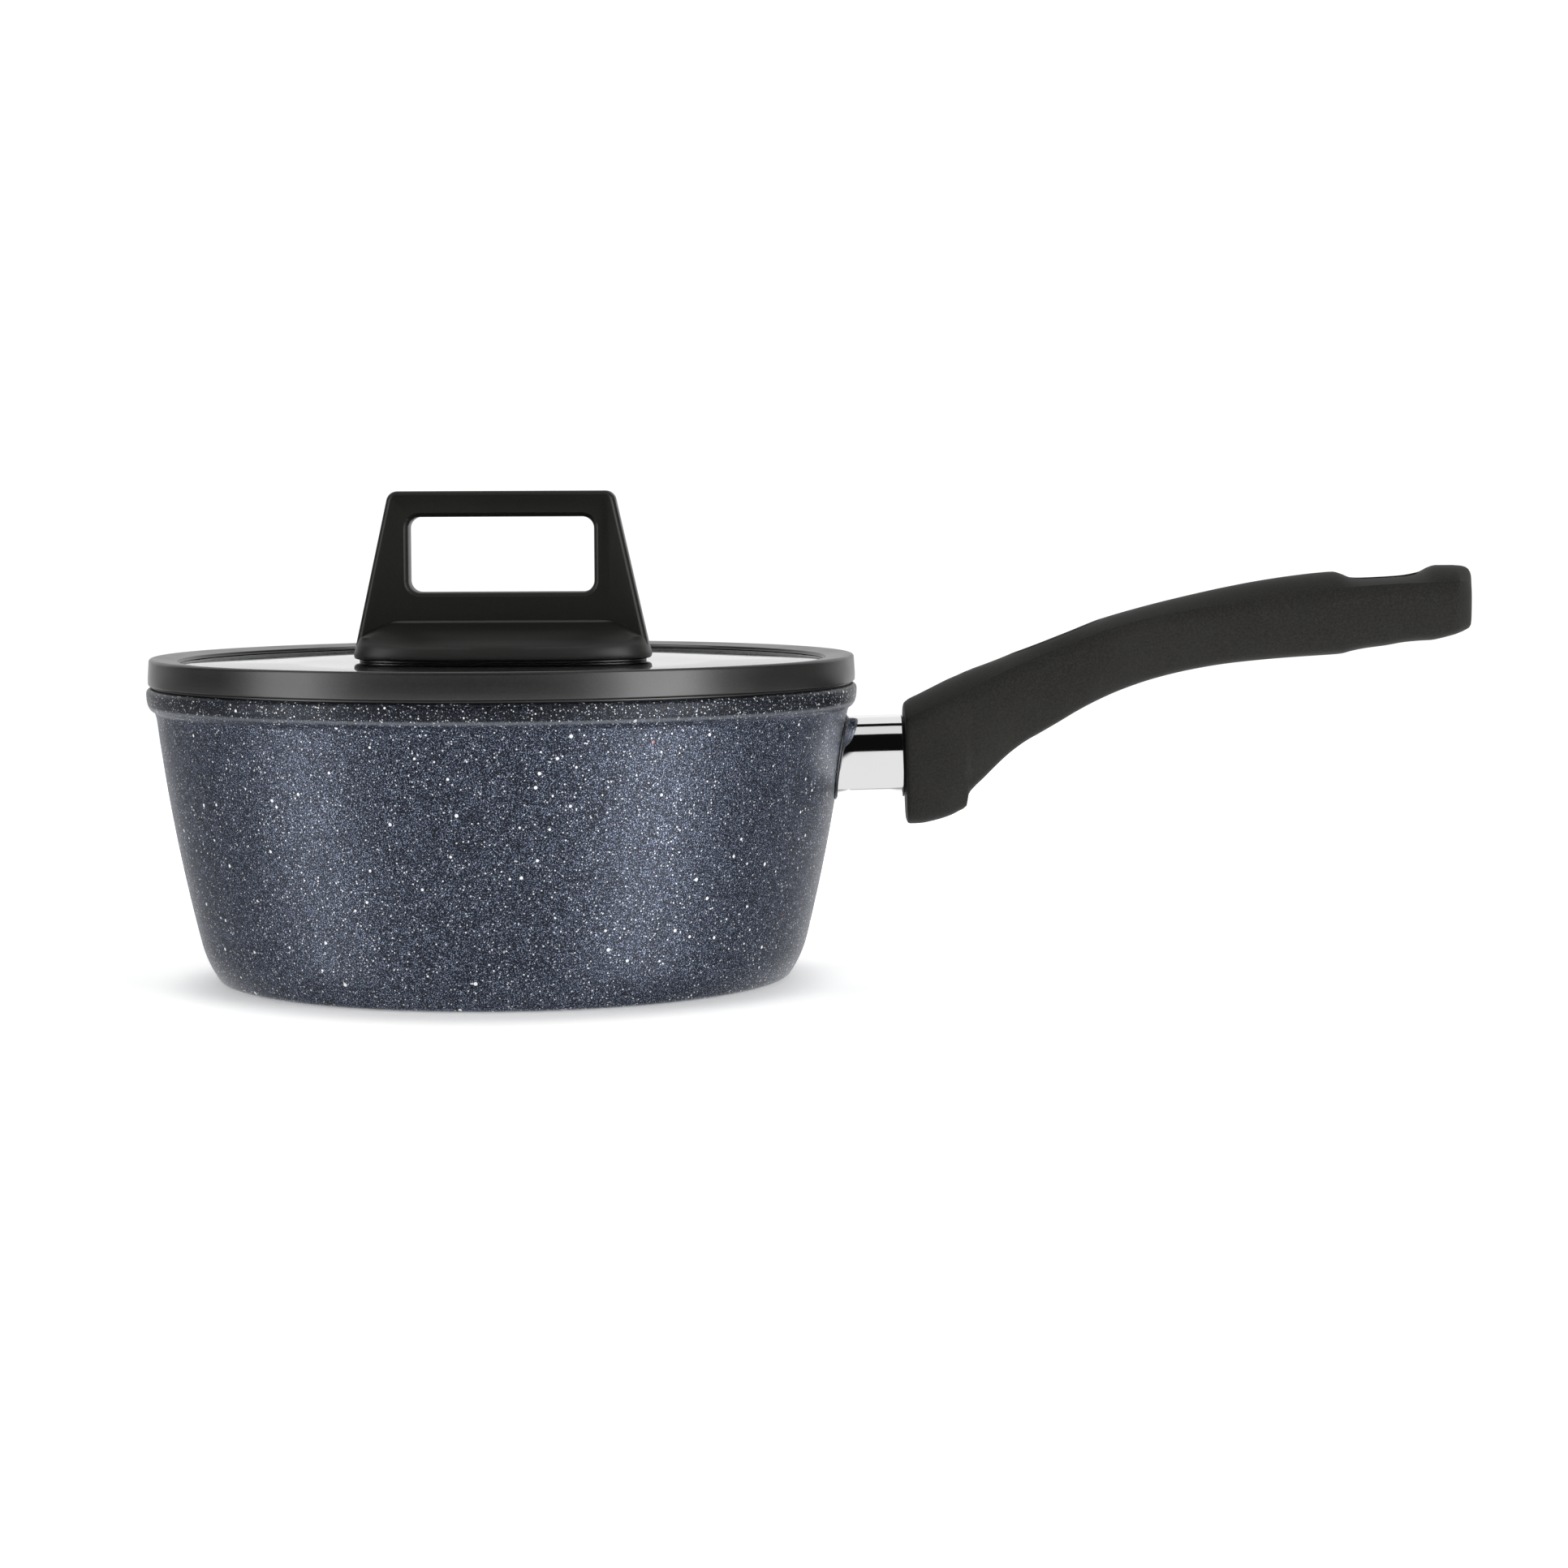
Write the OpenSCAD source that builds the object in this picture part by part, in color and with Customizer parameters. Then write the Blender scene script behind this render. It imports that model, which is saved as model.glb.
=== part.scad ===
// Saucepan, nominal 20 cm, with a long grip and a flat glass lid.
// Millimetres. The origin is the centre of the base on the hob plane, +Z is up and +X runs along the grip.

/* [Pan] */
// Radius of the flat base
base_r = 82.4; // [80:0.1:83]
// Radius of the outside wall just above the base corner
wall_r0 = 88.5; // [87.5:0.1:89]
// Height of the rim above the hob
pan_h = 85.4; // [84.4:0.1:86.4]
// Outside radius of the pouring band at the mouth
band_r = 103.3; // [103:0.1:104]
// Height of the lower edge of the pouring band
band_z = 80.1; // [79.6:0.1:80.6]
// Thickness of the side wall
wall_t = 2.8; // [2.4:0.1:3.2]
// Thickness of the floor
floor_t = 5; // [4:0.1:7]
// Radius of the steel disc in the base
disc_r = 72; // [50:1:76]
// Thickness of the steel disc in the base
disc_t = 1; // [0.6:0.1:1.5]

/* [Grip joint] */
// Height of the sleeve's axis at the middle of the sleeve
axis_z = 63.75; // [62.5:0.05:64.5]
// Upward tilt of the sleeve and grip in degrees
tilt = 1.5; // [0:0.1:2]
// Height of the chrome sleeve
guard_h = 23.5; // [23.2:0.1:24.5]
// Width of the chrome sleeve
guard_w = 29; // [28:0.1:30]
// Sheet thickness of the chrome sleeve
guard_t = 1; // [0.8:0.1:1.2]
// Radius of the grip screw
grip_screw_r = 2.5; // [2.4:0.05:2.5]

/* [Lid] */
// Radius of the glass
glass_r = 97.4; // [97:0.1:97.4]
// Thickness of the glass
glass_t = 4; // [3.5:0.1:4]
// Height of the top of the glass
glass_z = 92.2; // [92.05:0.05:92.3]
// Outside radius of the silicone rim
seal_r = 102.8; // [102.2:0.1:103.2]
// Distance of the steam vent from the middle of the lid
vent_y = 50; // [46:1:70]

/* [Knob] */
// Height of the top of the knob
knob_top = 141.7; // [139:0.1:144]
// Width of the knob at its top
knob_w_top = 65.4; // [64:0.1:67]
// Width of the knob at its foot
knob_w_foot = 86.4; // [84:0.1:88]
// Thickness of the knob's frame
knob_t = 12; // [11:0.5:13]
// Depth of the knob's foot
foot_d = 42; // [38:0.5:44]

/* [Hidden] */
$fn = 96;
eps = 0.01;
gap = 0.05;          // working clearance between pieces that touch

coat = [0.13, 0.15, 0.20];
bakelite = [0.16, 0.16, 0.155];
rubber_c = [0.10, 0.10, 0.10];
steel_c = [0.72, 0.72, 0.73];
brass_c = [0.78, 0.62, 0.30];

// ---- shared shapes ----
function arc(cx, cy, r, a0, a1, n) = [for (i = [0:n]) let (a = a0 + (a1 - a0) * i / n) [cx + r * cos(a), cy + r * sin(a)]];
// one rounded corner of a polygon: p is the corner, a and b its neighbours
function corner(a, p, b, r, n) = let (
    u = (a - p) / norm(a - p), v = (b - p) / norm(b - p),
    h = acos(u * v) / 2, m = (u + v) / norm(u + v), c = p + m * r / sin(h),
    s = p + u * r / tan(h) - c, e = p + v * r / tan(h) - c,
    a0 = atan2(s[1], s[0]), a1 = atan2(e[1], e[0]),
    d = (a1 - a0) > 180 ? a1 - a0 - 360 : (a1 - a0) < -180 ? a1 - a0 + 360 : a1 - a0)
    [for (i = [0:n]) c + r * [cos(a0 + d * i / n), sin(a0 + d * i / n)]];
function rounded(p, r, n = 6) = [for (i = [0:len(p) - 1])
    each (r[i] > 0 ? corner(p[(i + len(p) - 1) % len(p)], p[i], p[(i + 1) % len(p)], r[i], n) : [p[i]])];
function box_pts(w, h) = [[-w / 2, -h / 2], [w / 2, -h / 2], [w / 2, h / 2], [-w / 2, h / 2]];

// ---- pan profile ----
corner_r = 31.2;                                   // large radius between base and wall
corner_z = 11.3;                                   // height where it meets the wall
function wall_r(z) = let (t = z - corner_z) wall_r0 + 0.2475 * t - 0.001 * t * t;
outer_pts = concat(
    [[0, 0], [base_r, 0], [base_r + 0.5, 0.13]],
    arc(wall_r0 - corner_r * cos(13.9), corner_z + corner_r * sin(13.9), corner_r, -35, -13.9, 6),
    [for (z = [14:3:74]) [wall_r(z), z]],
    // the wall flares into the lower edge of the band
    [[wall_r(76) + 0.05, 76], [wall_r(77.2) + 0.15, 77.2], [band_r - 2.3, band_z - 1.7], [band_r - 1.6, band_z - 1.2],
     [band_r - 1.05, band_z - 0.7], [band_r - 0.6, band_z], [band_r - 0.35, band_z + 0.7], [band_r - 0.1, band_z + 1.9]]);
band_pts = concat([[band_r, band_z + 3.3]], arc(band_r - 1.4, pan_h - 1.4, 1.4, 0, 90, 5));
inner_r = 14;                                      // radius between floor and wall inside
inner_pts = concat(
    arc(wall_r(pan_h) - wall_t + 1.3, pan_h - 1.3, 1.3, 90, 180, 5),
    [for (z = [82:-3:22]) [wall_r(z) - wall_t, z]],
    arc(wall_r(18.4) - wall_t - inner_r * cos(13), floor_t + inner_r, inner_r, -13, -90, 8),
    [[0, floor_t]]);

module pan_envelope(d) rotate_extrude($fn = 180)
    polygon([[0, 20], for (z = [20:4:80]) [wall_r(z) + d, z], [0, 80]]);

// frame of the sleeve: x runs along the tilted axis from the middle of the sleeve
axis_x = 108;
face_x = 8.8;        // grip's front face, from the middle of the sleeve
lug_end = 4;         // end of the lug, from the middle of the sleeve
module on_axis() translate([axis_x, 0, axis_z]) rotate([0, -tilt, 0]) children();
// rounded bar along the sleeve's axis
module bar(x0, x1, w, h, r) translate([x0, 0, 0]) rotate([90, 0, 90])
    linear_extrude(x1 - x0) polygon(rounded(box_pts(w, h), [r, r, r, r], 8));
module rod(x0, x1, r, fn = 96) translate([x0, 0, 0]) rotate([0, 90, 0]) cylinder(h = x1 - x0, r = r, $fn = fn);

module pan_body() color(coat) difference() {
    union() {
        rotate_extrude($fn = 180) polygon(concat(outer_pts, band_pts, inner_pts));
        // cast lug inside the sleeve
        difference() {
            on_axis() bar(-14, lug_end, 19, 15, 5);
            pan_envelope(-1.4);
        }
    }
    translate([0, 0, -1]) cylinder(h = disc_t + 1, r = disc_r + gap, $fn = 180);
    on_axis() rod(-6, lug_end + 1, 4.05);
    // shallow ring grooves turned in the base outside the disc
    for (r = [76, 79]) translate([0, 0, -1]) difference() {
        cylinder(h = 1.3, r = r + 0.6, $fn = 180);
        translate([0, 0, -1]) cylinder(h = 4, r = r - 0.6, $fn = 180);
    }
}

module base_disc() color(steel_c) difference() {
    cylinder(h = disc_t - gap, r = disc_r, $fn = 180);
    // turned ring grooves
    for (r = [20:13:59]) translate([0, 0, -1]) difference() {
        cylinder(h = 1.25, r = r + 0.5, $fn = 180);
        translate([0, 0, -1]) cylinder(h = 4, r = r - 0.5, $fn = 180);
    }
}

module guard_gasket() color(rubber_c) intersection() {
    difference() {
        on_axis() bar(-20, 6, guard_w + 0.6, guard_h + 0.6, 9.8);
        on_axis() bar(-21, 7, guard_w - 4, guard_h - 4, 7.5);
        pan_envelope(gap);
    }
    pan_envelope(0.6);
}

module flame_guard() color("silver") difference() {
    on_axis() bar(-20, face_x - gap, guard_w, guard_h, 9.5);
    on_axis() bar(-21, face_x + 1, guard_w - 2 * guard_t, guard_h - 2 * guard_t, 9.5 - guard_t);
    pan_envelope(0.65);
}

module lug_insert() color(steel_c) on_axis() difference() {
    union() {
        rod(-5.9, lug_end - 0.1, 4);
        rod(lug_end - 1.3, lug_end - 0.1, 4.02);
    }
    rod(-7, lug_end + 1, grip_screw_r + gap);
}

// ---- grip ----
// stations along the grip: x, top, crease, bottom, half width, inset of the whole section
grip = [
    [116.9, 79.3, 75.4, 44.2, 16.6, 1.1], [117.4, 79.7, 75.6, 44.2, 16.6, 0.4], [118.5, 80.4, 76.1, 44.2, 16.6, 0],
    [121, 81.6, 77.2, 44.3, 16.5, 0], [125, 83.6, 79.1, 45, 16.2, 0], [130, 86.1, 81.4, 46.4, 15.8, 0],
    [133, 87.4, 82.6, 47.8, 15.4, 0], [135.2, 88.4, 83.6, 49.2, 15.1, 0], [135.8, 88.6, 83.9, 52.6, 15, 0],
    [137.2, 89.2, 84.6, 54.5, 14.9, 0], [140, 90.2, 86, 57.2, 14.6, 0], [144, 91.7, 88, 61.2, 14.2, 0],
    [147, 92.9, 89.4, 64, 13.9, 0], [152, 95.1, 91.6, 67.8, 13.6, 0], [157, 97.4, 93.7, 70.7, 13.4, 0],
    [162, 99.6, 95.6, 73.6, 13.3, 0], [167, 101.3, 97.5, 76.6, 13.3, 0], [172, 102.8, 99.5, 79.3, 13.4, 0],
    [180, 105.2, 102.1, 82.9, 13.5, 0], [190, 107.9, 104.8, 86.3, 13.7, 0], [200, 110.3, 106.5, 88.7, 13.9, 0],
    [210, 112.5, 108, 90.4, 14.1, 0], [220, 114.4, 109.3, 91.5, 14.3, 0], [230, 115.9, 110.6, 92.3, 14.5, 0],
    [238, 116.8, 111.7, 92.8, 14.6, 0], [242.5, 117.1, 112.3, 93.1, 14.7, 0], [244.4, 116.6, 112.6, 93.3, 14.7, 0],
    [247, 115.7, 112.9, 94, 14.8, 0], [251, 115.5, 113.2, 94.8, 14.8, 0], [257, 115.7, 113.6, 95.6, 14.8, 0],
    [263, 116.1, 113.9, 96.6, 14.8, 0], [268, 117, 114, 97, 14.8, 0], [270.2, 118.2, 114.1, 97.1, 14.8, 0],
    [272.5, 118.9, 114.2, 97.5, 14.8, 0], [276, 118.9, 114.4, 98.4, 14.8, 0],
    [277.4, 118.9, 114.4, 98.8, 14.6, 0], [278.6, 118.8, 114.3, 99.2, 13, 0], [279.8, 118.7, 114.2, 99.6, 11.1, 0],
    [281, 118.4, 114, 100.1, 8.7, 0], [281.9, 117.8, 113.6, 100.5, 6.2, 0], [282.5, 116.9, 113.1, 101.1, 4, 0],
    [282.8, 115.9, 112.6, 101.9, 2.4, 0]];
n_top = 8;
n_low = 14;
shoulder = 4;        // drop from the crease to the widest level
tuck = 1.1;          // how far the crease lies inside the widest level
// the side below the widest level: nearly upright, then round under to the middle
function grip_low(t, w, zs, zb) = let (c = cos(t), s = sin(t), q = pow(s, 0.55))
    [w * (1 - 0.07 * q) * sign(c) * pow(abs(c), 0.45), zs - (zs - zb) * q];
function grip_ring(g) = let (w = g[4] - g[5], wc = w - tuck, zt = g[1] - g[5], zc = g[2] - g[5] / 2, zb = g[3] + g[5],
                             zs = zc - shoulder, lean = max(0, 1 - (g[0] - 116.9) / 16),
                             low = [for (i = [0:n_low]) grip_low(180 * i / n_low, w, zs, zb)])
    [for (p = concat(
        [for (i = [0:n_top]) let (y = wc * (2 * i / n_top - 1)) [y, zc + (zt - zc) * (1 - pow(abs(y / wc), 2.2))]],
        [[w - 0.3 * tuck, zc - 0.45 * shoulder]], low, [[0.3 * tuck - w, zc - 0.45 * shoulder]]))
        [g[0] + lean * (80 - p[1]) * tan(tilt), p[0], p[1]]];
module grip_skin() {
    m = n_top + n_low + 4;
    k = len(grip);
    pts = [for (g = grip) each grip_ring(g)];
    faces = concat(
        [[for (i = [m - 1:-1:0]) i]],
        [[for (i = [0:m - 1]) (k - 1) * m + i]],
        [for (s = [0:k - 2]) for (i = [0:m - 1]) let (a = s * m + i, b = s * m + (i + 1) % m) each [[a, b + m, a + m], [a, b, b + m]]]);
    polyhedron(pts, faces, convexity = 6);
}
seat_x = 22;         // seat of the screw's washers, from the middle of the sleeve
slot_x0 = 250.5;     // centres of the round ends of the hang slot
slot_x1 = 262;
slot_r = 5.5;
module handle_grip() color(bakelite) difference() {
    union() {
        grip_skin();
        // spigot inside the sleeve, bearing on the end of the lug
        on_axis() bar(lug_end + gap, face_x + 3, guard_w - 2 * guard_t - 0.2, guard_h - 2 * guard_t - 0.2, 8.4);
    }
    on_axis() rod(0, seat_x + 1, grip_screw_r + 0.3);
    on_axis() rod(seat_x, 50, 5.6);
    for (x = [slot_x0, slot_x1]) translate([x, 0, 80]) cylinder(h = 50, r = slot_r, $fn = 64);
    translate([slot_x0, -slot_r, 80]) cube([slot_x1 - slot_x0, 2 * slot_r, 50]);
    // shallow thumb scoop across the crown
    translate([161.3, 0, 99.1]) rotate([0, -21.6, 0]) scale([15, 8.6, 2.4]) sphere(1, $fn = 48);
}

module washer(r, r_in, t) difference() { cylinder(h = t, r = r); translate([0, 0, -1]) cylinder(h = t + 2, r = r_in); }
module split_washer(r, r_in, t) difference() {
    washer(r, r_in, t);
    translate([0, -0.5, -1]) rotate([0, 0, 20]) cube([r + 2, 1, t + 2]);
}
// pan head screw, seat at z = 0, shank down, head up, cross recess
module pan_screw(r, len, head_r, head_h) difference() {
    rotate_extrude() polygon(concat(
        [[0, -len], [r - 0.6, -len], [r, -len + 0.6], [r, -2], [r, 0], [head_r - 0.3, 0]],
        [for (i = [0:6]) let (a = 90 * i / 6) [head_r * pow(cos(a), 0.6), 0.6 + (head_h - 0.6) * pow(sin(a), 0.8)]]));
    for (a = [0, 90]) rotate([0, 0, a]) translate([-head_r * 0.55, -0.45, head_h - 1.5]) cube([head_r * 1.1, 0.9, 3]);
    translate([0, 0, head_h - 1.9]) cylinder(h = 3, r = 0.9);
}

module handle_washer() color(steel_c) on_axis() translate([seat_x + gap, 0, 0]) rotate([0, 90, 0]) washer(5.3, 2.65, 1);
module handle_lock_washer() color(steel_c) on_axis() translate([seat_x + 1 + 2 * gap, 0, 0]) rotate([0, 90, 0]) split_washer(4.4, 2.65, 1.3);
module handle_screw() color(steel_c) on_axis() translate([seat_x + 2.3 + 3 * gap, 0, 0]) rotate([0, 90, 0])
    pan_screw(grip_screw_r, 29, 4.7, 3.3);

// ---- lid ----
glass_b = glass_z - glass_t;
module rim_seal() color(rubber_c) rotate_extrude($fn = 180) polygon(concat(
    // rests on the rim, then tucks in at the outside
    [[98.9, pan_h], [101.4, pan_h], [101.7, pan_h + 0.7]],
    arc(seal_r - 0.7, pan_h + 1.4, 0.7, -90, 0, 4),
    [[seal_r, 88.4], [seal_r - 0.3, 93]],
    arc(seal_r - 1.2, 93, 0.9, 0, 80, 4),
    // top falling inward to a rounded lip on the glass
    [[94.6, 93.2]], arc(94.6, 92.8, 0.4, 95, 180, 4), [[93.9, 92.4], [93.8, glass_z + gap]],
    // channel that holds the edge of the glass
    [[glass_r + gap, glass_z + gap], [glass_r + gap, glass_b - gap], [91, glass_b - gap]],
    [[90.7, glass_b - 0.5], [91.2, glass_b - 1], [95.5, glass_b - 1.7], [96.6, 83.6], [96.9, 83], [97.4, 83], [97.6, 83.6], [97.7, 85.2]]));

hole_r = 5;
module lid_glass() color([0.8, 0.85, 0.86, 0.4]) difference() {
    translate([0, 0, glass_b]) rotate_extrude($fn = 180) polygon([
        [0, 0], [glass_r - 0.8, 0], [glass_r, 0.8], [glass_r, glass_t - 0.8], [glass_r - 0.8, glass_t], [0, glass_t]]);
    translate([0, 0, glass_b - 1]) cylinder(h = glass_t + 2, r = hole_r);
    translate([0, vent_y, glass_b - 1]) cylinder(h = glass_t + 2, r = 4.6);
}
module vent_bush() color(rubber_c) translate([0, vent_y, glass_b]) washer(4.55, 3.65, glass_t);
module vent_eyelet() color(steel_c) translate([0, vent_y, 0]) rotate_extrude() polygon(concat(
    [[2.6, glass_b - 0.3], [3, glass_b - 0.8], [5.4, glass_b - 0.8], [5.8, glass_b - 0.4], [5.4, glass_b - gap], [3.6, glass_b - gap],
     [3.6, glass_z + gap], [6.2, glass_z + gap]],
    arc(6.2, glass_z + gap + 0.4, 0.4, -60, 90, 4),
    [[3.4, glass_z + 0.9], [2.6, glass_z + 0.3]]));

// knob: a flared frame with a finger window on a deeper foot
foot_z = glass_z + 0.75;      // underside of the foot
crease_z = 104.2;             // where the foot runs into the frame
win_x = 27;                   // half width of the window
win_z0 = 112.3;
win_z1 = 134.2;
function ell(a, b, n, m) = [for (i = [0:m - 1]) let (t = 360 * i / m, c = cos(t), s = sin(t))
    [a * sign(c) * pow(abs(c), 2 / n), b * sign(s) * pow(abs(s), 2 / n)]];
module foot_slice(z, a, b, n) translate([0, 0, z]) linear_extrude(0.02) polygon(ell(a, b, n, 48));
module knob_frame_2d() difference() {
    polygon(rounded([[-knob_w_foot / 2, 94.4], [knob_w_foot / 2, 94.4], [knob_w_top / 2, knob_top], [-knob_w_top / 2, knob_top]],
                    [0, 0, 3.2, 3.2], 8));
    polygon(rounded([[-win_x, win_z0], [win_x, win_z0], [win_x, win_z1], [-win_x, win_z1]], [3.4, 3.4, 3.4, 3.4], 8));
}
module knob_body() color([0.12, 0.12, 0.12]) difference() {
    union() {
        translate([0, knob_t / 2, 0]) rotate([90, 0, 0]) linear_extrude(knob_t) knob_frame_2d();
        hull() {
            foot_slice(foot_z, 42.6, foot_d / 2 - 1, 2.6);
            foot_slice(foot_z + 0.4, 43.3, foot_d / 2 - 0.2, 2.6);
            foot_slice(foot_z + 1.3, 43.5, foot_d / 2, 2.6);
            foot_slice(96.7, 42.9, foot_d / 2 - 0.6, 2.6);
            foot_slice(98, 42.4, foot_d / 2 - 2.7, 2.8);
            foot_slice(99.4, 41.6, foot_d / 2 - 5.4, 3.4);
            foot_slice(103.6, 33.2, knob_t / 2 + 1.3, 10);
            foot_slice(crease_z, 31.6, knob_t / 2 + 0.1, 10);
        }
    }
    translate([0, 0, foot_z - 1]) cylinder(h = 12.5, r = 4.05);
    // hollow underside of the foot
    for (s = [-1, 1]) translate([s * 24, 0, foot_z - 1]) linear_extrude(6) polygon(rounded(box_pts(28, 15), [3, 3, 3, 3], 4));
}
module knob_gasket() color(rubber_c) difference() {
    translate([0, 0, glass_z + gap]) linear_extrude(0.6) polygon(ell(41.9, foot_d / 2 - 1.5, 2.6, 48));
    translate([0, 0, glass_z - 1]) cylinder(h = 3, r = 2.6);
}
module knob_insert() color(brass_c) difference() {
    union() {
        translate([0, 0, foot_z + 0.1]) cylinder(h = 11.2, r = 3.75);
        for (z = [0.1, 6.6]) translate([0, 0, foot_z + z]) cylinder(h = 4.7, r = 4);
    }
    translate([0, 0, foot_z - 1]) cylinder(h = 14, r = 2.05);
}
module glass_grommet() color(rubber_c) difference() {
    union() {
        translate([0, 0, glass_b - 0.1]) cylinder(h = glass_t + 0.1, r = hole_r - gap);
        translate([0, 0, glass_b - 0.9]) cylinder(h = 0.85, r = 9.4);
    }
    translate([0, 0, glass_b - 2]) cylinder(h = glass_t + 4, r = 2.3);
}
module knob_washer() color(steel_c) translate([0, 0, glass_b - 2]) washer(9, 2.2, 1.05);
module knob_lock_washer() color(steel_c) translate([0, 0, glass_b - 3.05]) split_washer(3.8, 2.2, 1);
module knob_screw() color(steel_c) translate([0, 0, glass_b - 3.1]) rotate([180, 0, 0]) pan_screw(2, 18, 4, 2.5);

pan_body();
base_disc();
guard_gasket();
flame_guard();
lug_insert();
handle_grip();
handle_washer();
handle_lock_washer();
handle_screw();
rim_seal();
lid_glass();
vent_bush();
vent_eyelet();
knob_body();
knob_gasket();
knob_insert();
glass_grommet();
knob_washer();
knob_lock_washer();
knob_screw();
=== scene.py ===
import math

import bmesh
import bpy
import numpy as np
from mathutils import Matrix, Vector


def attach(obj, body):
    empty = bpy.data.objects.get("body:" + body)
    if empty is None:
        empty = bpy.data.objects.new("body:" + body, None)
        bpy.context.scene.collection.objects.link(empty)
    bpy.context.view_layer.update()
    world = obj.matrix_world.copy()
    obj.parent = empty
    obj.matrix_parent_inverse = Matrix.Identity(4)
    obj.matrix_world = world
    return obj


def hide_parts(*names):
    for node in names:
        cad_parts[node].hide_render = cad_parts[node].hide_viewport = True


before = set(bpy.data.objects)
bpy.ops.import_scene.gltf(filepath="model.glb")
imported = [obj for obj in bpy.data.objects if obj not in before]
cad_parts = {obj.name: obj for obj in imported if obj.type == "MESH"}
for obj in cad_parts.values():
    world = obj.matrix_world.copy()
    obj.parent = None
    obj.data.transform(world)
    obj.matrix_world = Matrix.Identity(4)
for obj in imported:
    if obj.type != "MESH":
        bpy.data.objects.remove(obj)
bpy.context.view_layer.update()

scene = bpy.context.scene
MM = 0.001

# ------------------------------------------------------------------ camera
cam_data = bpy.data.cameras.new("camera")
cam_data.sensor_width = 36.0
cam_data.lens = 4700.0 / 1932.0 * 36.0
cam_data.clip_start = 0.02
cam_data.clip_end = 50.0
cam = bpy.data.objects.new("camera", cam_data)
scene.collection.objects.link(cam)
cam.matrix_world = (
    Matrix.Translation((0.0819156, -1.115565, 0.143994))
    @ Matrix.Rotation(math.radians(90.0) - 0.0791, 4, "X")
    @ Matrix.Rotation(-0.0045, 4, "Z")
)
scene.camera = cam


# ------------------------------------------------------------------ mesh helpers
def make(name, verts, faces, angle=32.0, scale=MM):
    """A mesh object from millimetre points, smooth shaded, with edges sharper than angle kept sharp."""
    me = bpy.data.meshes.new(name)
    me.from_pydata([tuple(float(c) * scale for c in v) for v in verts], [], faces)
    me.validate()
    ob = bpy.data.objects.new(name, me)
    scene.collection.objects.link(ob)
    tidy(ob, angle)
    return ob


def tidy(ob, angle=32.0, merge=0.0):
    me = ob.data
    bm = bmesh.new()
    bm.from_mesh(me)
    if merge:
        bmesh.ops.remove_doubles(bm, verts=bm.verts, dist=merge)
        bmesh.ops.dissolve_degenerate(bm, edges=bm.edges, dist=merge)
    bmesh.ops.recalc_face_normals(bm, faces=bm.faces)
    bm.to_mesh(me)
    bm.free()
    me.polygons.foreach_set("use_smooth", [True] * len(me.polygons))
    me.set_sharp_from_angle(angle=math.radians(angle))
    me.update()


def revolve(name, prof, n=288, centre=(0, 0), angle=32.0):
    """A closed profile of (radius, height) turned about the vertical axis through centre. Points on the axis become poles."""
    verts, rows = [], []
    for r, z in prof:
        if r < 1e-6:
            rows.append([len(verts)] * n)
            verts.append((centre[0], centre[1], z))
        else:
            rows.append(list(range(len(verts), len(verts) + n)))
            for i in range(n):
                a = 2 * math.pi * i / n
                verts.append((centre[0] + r * math.cos(a), centre[1] + r * math.sin(a), z))
    faces = []
    m = len(prof)
    for j in range(m):
        a, b = rows[j], rows[(j + 1) % m]
        if a[0] == a[1] and b[0] == b[1]:
            continue
        for i in range(n):
            k = (i + 1) % n
            q = []
            for v in (a[i], a[k], b[k], b[i]):
                if v not in q:
                    q.append(v)
            faces.append(q)
    return make(name, verts, faces, angle)


def arc(cx, cy, r, a0, a1, n):
    return [
        (cx + r * math.cos(math.radians(a0 + (a1 - a0) * i / n)), cy + r * math.sin(math.radians(a0 + (a1 - a0) * i / n)))
        for i in range(n + 1)
    ]


def smooth_path(pts, step, closed=False):
    """Catmull-Rom points along pts, about step apart."""
    p = np.array(pts, float)
    m = len(p)
    out = []
    last = m if closed else m - 1
    for i in range(last):
        p1, p2 = p[i], p[(i + 1) % m]
        p0 = p[i - 1] if (i > 0 or closed) else 2 * p1 - p2
        p3 = p[(i + 2) % m] if (i + 2 < m or closed) else 2 * p2 - p1
        n = max(1, int(round(np.linalg.norm(p2 - p1) / step)))
        for k in range(n):
            t = k / n
            out.append(
                0.5 * ((2 * p1) + (-p0 + p2) * t + (2 * p0 - 5 * p1 + 4 * p2 - p3) * t * t + (-p0 + 3 * p1 - 3 * p2 + p3) * t**3)
            )
    if not closed:
        out.append(p[-1])
    return [tuple(float(c) for c in q) for q in out]


def boolean(ob, tool, op="DIFFERENCE"):
    m = ob.modifiers.new("b", "BOOLEAN")
    m.operation, m.solver, m.object = op, "EXACT", tool
    dg = bpy.context.evaluated_depsgraph_get()
    me = bpy.data.meshes.new_from_object(ob.evaluated_get(dg), depsgraph=dg)
    ob.modifiers.clear()
    old = ob.data
    ob.data = me
    bpy.data.meshes.remove(old)
    bpy.data.objects.remove(tool)
    return ob


def prism(name, loop, axis, lo, hi):
    """A loop of (a, b) points pushed along an axis: X takes (y, z), Y takes (x, z), Z takes (x, y)."""
    place = {"X": lambda a, b, t: (t, a, b), "Y": lambda a, b, t: (a, t, b), "Z": lambda a, b, t: (a, b, t)}[axis]
    n = len(loop)
    verts = [place(a, b, lo) for a, b in loop] + [place(a, b, hi) for a, b in loop]
    faces = [list(range(n)), [n + i for i in range(n - 1, -1, -1)]]
    faces += [[i, (i + 1) % n, n + (i + 1) % n, n + i] for i in range(n)]
    return make(name, verts, faces)


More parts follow.
